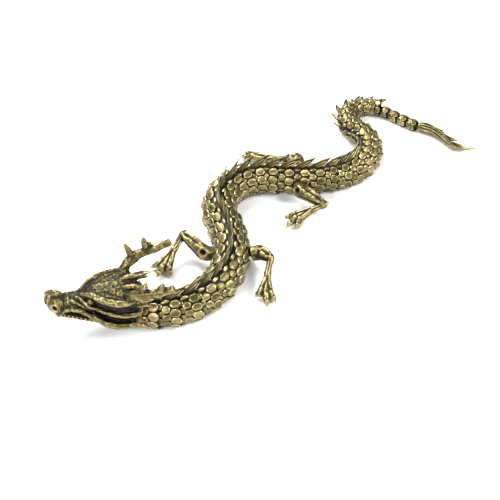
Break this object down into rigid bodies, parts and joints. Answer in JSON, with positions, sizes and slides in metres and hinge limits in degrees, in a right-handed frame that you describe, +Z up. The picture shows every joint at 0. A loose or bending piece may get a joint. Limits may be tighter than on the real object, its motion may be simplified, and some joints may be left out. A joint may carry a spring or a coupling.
{
  "type": "articulated dragon sculpture",
  "caption": "Cast brass dragon figure built as a chain of overlapping scaled rings, with antlered head, clawed legs and a flame tail, lying on its belly in an S curve.",
  "frame": {"origin": "middle of the bounding box's footprint, on the plane the dragon lies on", "axes": "+Z up; +X from the head's side towards the tail tuft, along the row's longest extent; +Y from the head end towards the tail's far bend"},
  "size_m": [0.2002, 0.1717, 0.0359],
  "materials": {
    "brass": "antique cast brass, rubbed bright on raised scales and edges, with near black green patina in every recess"
  },
  "bodies": {
    "root": {"head": "brass", "ring_01": "brass", "ring_02": "brass", "ring_03": "brass", "ring_04": "brass", "ring_05": "brass", "ring_06": "brass", "ring_07": "brass", "ring_08": "brass", "ring_09": "brass", "ring_10": "brass", "ring_11": "brass", "ring_12": "brass", "ring_13": "brass", "ring_14": "brass", "ring_15": "brass", "ring_16": "brass", "ring_17": "brass", "ring_18": "brass", "ring_19": "brass", "ring_20": "brass", "ring_21": "brass", "ring_22": "brass", "ring_23": "brass", "ring_24": "brass", "ring_25": "brass", "ring_26": "brass", "ring_27": "brass", "ring_28": "brass", "ring_29": "brass", "ring_30": "brass", "ring_31": "brass", "ring_32": "brass", "ring_33": "brass", "ring_34": "brass", "ring_35": "brass", "ring_36": "brass", "ring_37": "brass", "tail_link_01": "brass", "tail_link_02": "brass", "tail_link_03": "brass", "tail_link_04": "brass", "tail_tuft": "brass", "leg_front_left": "brass", "leg_front_right": "brass", "leg_hind_left": "brass", "leg_hind_right": "brass"}
  },
  "joints": []
}
